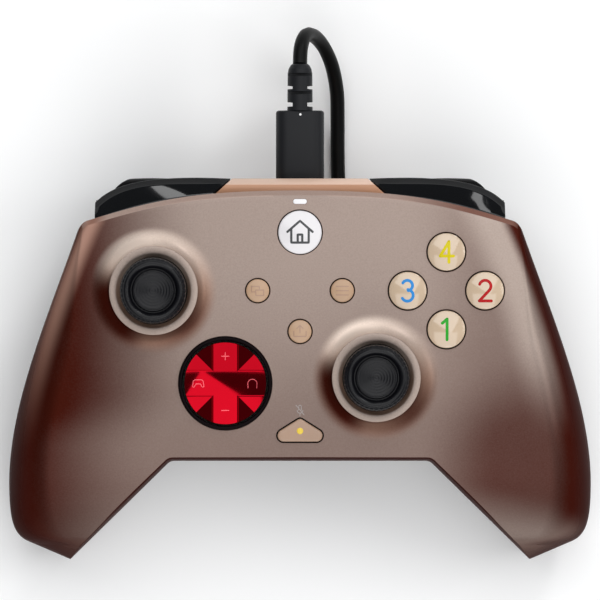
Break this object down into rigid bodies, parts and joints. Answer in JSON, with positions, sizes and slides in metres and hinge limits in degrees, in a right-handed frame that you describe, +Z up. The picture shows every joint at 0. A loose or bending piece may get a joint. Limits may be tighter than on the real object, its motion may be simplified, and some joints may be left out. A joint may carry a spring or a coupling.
{
  "type": "wired gamepad",
  "caption": "Wired gamepad lying face up, with tilting thumbsticks, a rocking direction pad, push buttons, shoulder buttons, sprung triggers and a coiled lead.",
  "frame": {"origin": "middle of the footprint of the gamepad without its lead, on the table that it lies on", "axes": "+X to the right seen from above the face, +Y towards the lead and the triggers, +Z up out of the face"},
  "size_m": [0.154, 0.1408, 0.0604],
  "materials": {
    "case": "satin, slightly pearly taupe",
    "back": "fine matt texture",
    "trim": "satin",
    "cream": "gloss",
    "gloss_black": "mirror gloss",
    "stick_rubber": "matt",
    "red": "red mirror plating",
    "lamp": "translucent",
    "inner_plastic": "plain",
    "steel": "plain",
    "board": "plain",
    "membrane": "matt",
    "cord": "matt",
    "plug": "fine matt",
    "tie": "woven"
  },
  "bodies": {
    "case": {"front_shell": "case", "back_shell": "back", "top_bridge": "trim", "usb_port": "steel", "main_pcb": "board", "lamp_board": "board", "audio_jack": "inner_plastic", "lamp_window": "cream", "left_stick_socket": "steel", "right_stick_socket": "steel", "dpad_bezel": "gloss_black", "dpad_membrane": "membrane", "dpad_fulcrum": "steel", "action_membrane": "membrane", "left_motor": "steel", "right_motor": "steel", "left_shoulder_frame": "inner_plastic", "right_shoulder_frame": "inner_plastic", "trigger_pins": "steel", "left_trigger_spring": "steel", "right_trigger_spring": "steel", "case_screws": "steel", "usb_c_plug": "plug", "usb_c_tongue": "steel", "plug_relief": "cord", "cord_lead": "cord", "cord_coil": "cord", "coil_tie": "tie", "cord_tail": "cord", "usb_a_plug": "plug", "usb_a_shell": "steel"},
    "left_gimbal": {"left_stick_gimbal": "inner_plastic"},
    "left_rocker": {"left_stick_rocker": "inner_plastic"},
    "left_stick": {"left_stick_stem": "steel", "left_stick_cap": "stick_rubber"},
    "right_gimbal": {"right_stick_gimbal": "inner_plastic"},
    "right_rocker": {"right_stick_rocker": "inner_plastic"},
    "right_stick": {"right_stick_stem": "steel", "right_stick_cap": "stick_rubber"},
    "dpad_rocker": {"dpad_rocker": "steel"},
    "dpad_cap": {"dpad_cap": "red"},
    "action_top": {"action_top": "cream"},
    "action_right": {"action_right": "cream"},
    "action_bottom": {"action_bottom": "cream"},
    "action_left": {"action_left": "cream"},
    "view_button": {"view_button": "trim"},
    "menu_button": {"menu_button": "trim"},
    "share_button": {"share_button": "trim"},
    "home_button": {"home_button": "cream"},
    "mute_button": {"mute_button": "trim", "mute_lamp": "lamp"},
    "left_bumper": {"left_bumper": "gloss_black"},
    "right_bumper": {"right_bumper": "gloss_black"},
    "left_trigger": {"left_trigger": "gloss_black"},
    "right_trigger": {"right_trigger": "gloss_black"},
    "left_paddle": {"left_paddle": "back"},
    "right_paddle": {"right_paddle": "back"},
    "left_weight": {"left_weight": "steel"},
    "right_weight": {"right_weight": "steel"}
  },
  "joints": [
    {"name": "left_stick_fore_aft", "type": "hinge", "parent": "case", "child": "left_gimbal", "pos_m": [-0.0384, 0.0207, 0.0405], "axis": [1, 0, 0], "range_deg": [-16, 16], "stiffness_Nm_per_rad": 0.04},
    {"name": "left_stick_sideways", "type": "hinge", "parent": "left_gimbal", "child": "left_rocker", "pos_m": [-0.0384, 0.0207, 0.0405], "axis": [0, 1, 0], "range_deg": [-16, 16], "stiffness_Nm_per_rad": 0.04},
    {"name": "left_stick_click", "type": "slide", "parent": "left_rocker", "child": "left_stick", "axis": [0, 0, -1], "range_m": [0, 0.0006], "stiffness_N_per_m": 2000, "springref_m": -0.0006},
    {"name": "right_stick_fore_aft", "type": "hinge", "parent": "case", "child": "right_gimbal", "pos_m": [0.02, -0.0021, 0.04123], "axis": [1, 0, 0], "range_deg": [-16, 16], "stiffness_Nm_per_rad": 0.04},
    {"name": "right_stick_sideways", "type": "hinge", "parent": "right_gimbal", "child": "right_rocker", "pos_m": [0.02, -0.0021, 0.04123], "axis": [0, 1, 0], "range_deg": [-16, 16], "stiffness_Nm_per_rad": 0.04},
    {"name": "right_stick_click", "type": "slide", "parent": "right_rocker", "child": "right_stick", "axis": [0, 0, -1], "range_m": [0, 0.0006], "stiffness_N_per_m": 2000, "springref_m": -0.0006},
    {"name": "dpad_fore_aft", "type": "hinge", "parent": "case", "child": "dpad_rocker", "pos_m": [-0.0196, -0.0036, 0.04254], "axis": [1, 0, 0], "range_deg": [-4, 4], "stiffness_Nm_per_rad": 0.25},
    {"name": "dpad_sideways", "type": "hinge", "parent": "dpad_rocker", "child": "dpad_cap", "pos_m": [-0.0196, -0.0036, 0.04254], "axis": [0, 1, 0], "range_deg": [-4, 4], "stiffness_Nm_per_rad": 0.25},
    {"name": "action_top_press", "type": "slide", "parent": "case", "child": "action_top", "axis": [0, 0, -1], "range_m": [0, 0.0014], "stiffness_N_per_m": 400, "springref_m": -0.0008},
    {"name": "action_right_press", "type": "slide", "parent": "case", "child": "action_right", "axis": [0, 0, -1], "range_m": [0, 0.0014], "stiffness_N_per_m": 400, "springref_m": -0.0008},
    {"name": "action_bottom_press", "type": "slide", "parent": "case", "child": "action_bottom", "axis": [0, 0, -1], "range_m": [0, 0.0014], "stiffness_N_per_m": 400, "springref_m": -0.0008},
    {"name": "action_left_press", "type": "slide", "parent": "case", "child": "action_left", "axis": [0, 0, -1], "range_m": [0, 0.0014], "stiffness_N_per_m": 400, "springref_m": -0.0008},
    {"name": "view_button_press", "type": "slide", "parent": "case", "child": "view_button", "axis": [0, 0, -1], "range_m": [0, 0.0006], "stiffness_N_per_m": 1200, "springref_m": -0.0006},
    {"name": "menu_button_press", "type": "slide", "parent": "case", "child": "menu_button", "axis": [0, 0, -1], "range_m": [0, 0.0006], "stiffness_N_per_m": 1200, "springref_m": -0.0006},
    {"name": "share_button_press", "type": "slide", "parent": "case", "child": "share_button", "axis": [0, 0, -1], "range_m": [0, 0.0006], "stiffness_N_per_m": 1200, "springref_m": -0.0006},
    {"name": "home_button_press", "type": "slide", "parent": "case", "child": "home_button", "axis": [0, 0, -1], "range_m": [0, 0.0006], "stiffness_N_per_m": 1200, "springref_m": -0.0006},
    {"name": "mute_button_press", "type": "slide", "parent": "case", "child": "mute_button", "axis": [0, 0, -1], "range_m": [0, 0.0006], "stiffness_N_per_m": 1200, "springref_m": -0.0006},
    {"name": "right_bumper_press", "type": "hinge", "parent": "case", "child": "right_bumper", "pos_m": [0.0252, 0.042, 0.039], "axis": [0, 0, -1], "range_deg": [0, 2], "stiffness_Nm_per_rad": 1, "springref_deg": -1.15},
    {"name": "left_bumper_press", "type": "hinge", "parent": "case", "child": "left_bumper", "pos_m": [-0.0252, 0.042, 0.039], "axis": [0, 0, 1], "range_deg": [0, 2], "stiffness_Nm_per_rad": 1, "springref_deg": -1.15},
    {"name": "right_trigger_pull", "type": "hinge", "parent": "case", "child": "right_trigger", "pos_m": [0.0391, 0.0415, 0.031], "axis": [-1, 0, 0], "range_deg": [0, 15], "stiffness_Nm_per_rad": 0.06, "springref_deg": -17.19},
    {"name": "left_trigger_pull", "type": "hinge", "parent": "case", "child": "left_trigger", "pos_m": [-0.0391, 0.0415, 0.031], "axis": [-1, 0, 0], "range_deg": [0, 15], "stiffness_Nm_per_rad": 0.06, "springref_deg": -17.19},
    {"name": "right_paddle_press", "type": "slide", "parent": "case", "child": "right_paddle", "axis": [0.5646, -0.3735, 0.7361], "range_m": [0, 0.0008], "stiffness_N_per_m": 1200, "springref_m": -0.0006},
    {"name": "left_paddle_press", "type": "slide", "parent": "case", "child": "left_paddle", "axis": [-0.5646, -0.3735, 0.7361], "range_m": [0, 0.0008], "stiffness_N_per_m": 1200, "springref_m": -0.0006},
    {"name": "right_weight_spin", "type": "hinge", "parent": "case", "child": "right_weight", "pos_m": [0.06299, -0.016, 0.025], "axis": [0, 1, 0], "continuous": true},
    {"name": "left_weight_spin", "type": "hinge", "parent": "case", "child": "left_weight", "pos_m": [-0.06299, -0.016, 0.025], "axis": [0, 1, 0], "continuous": true}
  ]
}
